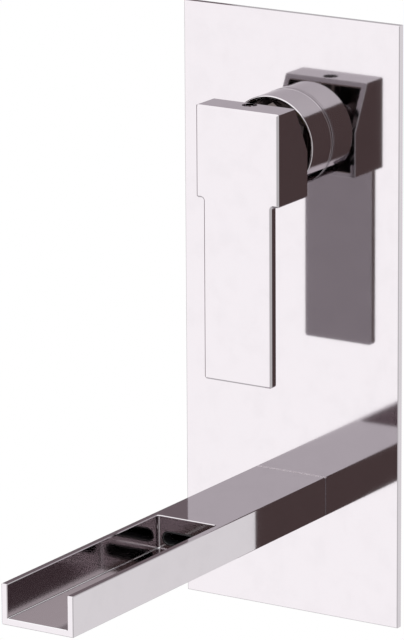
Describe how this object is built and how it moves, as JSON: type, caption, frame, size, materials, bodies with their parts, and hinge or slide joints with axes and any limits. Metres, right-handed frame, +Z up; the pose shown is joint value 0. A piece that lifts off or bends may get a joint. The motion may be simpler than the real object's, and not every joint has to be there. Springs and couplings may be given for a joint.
{
  "type": "waterfall basin faucet",
  "caption": "Wall-mounted single-lever basin mixer on a tall flat cover plate, with a long square open-trough spout below and the concealed brass body behind.",
  "frame": {"origin": "centre of the cover plate's back face, in the plane of the finished wall", "axes": "+Z up, -Y out of the wall towards the user, +X to the right seen from the front"},
  "size_m": [0.105, 0.2484, 0.26],
  "materials": {
    "plate_chrome": "mirror polished",
    "chrome": "mirror polished",
    "foam": "closed-cell foam",
    "rubber": "matte",
    "brass": "turned",
    "nickel": "nickel plated brass, satin",
    "cast_brass": "sand cast, blasted",
    "ceramic": "lapped alumina ceramic",
    "cartridge_plastic": "moulded",
    "rotor_plastic": "moulded",
    "dark_plastic": "moulded",
    "fibre": "vulcanised fibre",
    "steel": "plain stainless",
    "zinc_steel": "zinc plated sheet"
  },
  "bodies": {
    "wall_body": {"cover_plate": "plate_chrome", "plate_seal": "foam", "sleeve": "chrome", "sleeve_o_ring": "rubber", "retaining_nut": "nickel", "cartridge_housing": "cartridge_plastic", "fixed_disc": "ceramic", "disc_seals": "rubber", "cartridge_base": "cartridge_plastic", "base_seals": "rubber", "mixer_body": "cast_brass", "outlet_pipe": "brass", "spout_elbow": "cast_brass", "nipple_washer": "fibre", "spout_nipple": "brass", "nipple_o_rings": "rubber", "spout": "chrome", "outlet_liner": "dark_plastic", "spout_grub_screw": "steel", "mounting_bracket": "zinc_steel", "bracket_screws": "steel"},
    "turning_carrier": {"rotor": "rotor_plastic", "rotor_o_ring": "rubber", "pivot_pin": "steel"},
    "lever": {"lever_handle": "chrome", "lever_grub_screw": "steel", "stem": "brass"},
    "sliding_discs": {"disc_driver": "rotor_plastic", "moving_disc": "ceramic"}
  },
  "joints": [
    {"name": "temperature_turn", "type": "hinge", "parent": "wall_body", "child": "turning_carrier", "pos_m": [0, -0.002, 0.0773], "axis": [0, -1, 0], "range_deg": [-50, 50]},
    {"name": "lever_lift", "type": "hinge", "parent": "turning_carrier", "child": "lever", "pos_m": [0, -0.002, 0.0773], "axis": [-1, 0, 0], "range_deg": [0, 25]},
    {"name": "disc_slide", "type": "slide", "parent": "turning_carrier", "child": "sliding_discs", "axis": [0, 0, -1], "range_m": [0, 0.0034]}
  ],
  "couplings": [
    {"joint": "disc_slide", "follows": "lever_lift", "m_per_rad": 0.0077486}
  ]
}
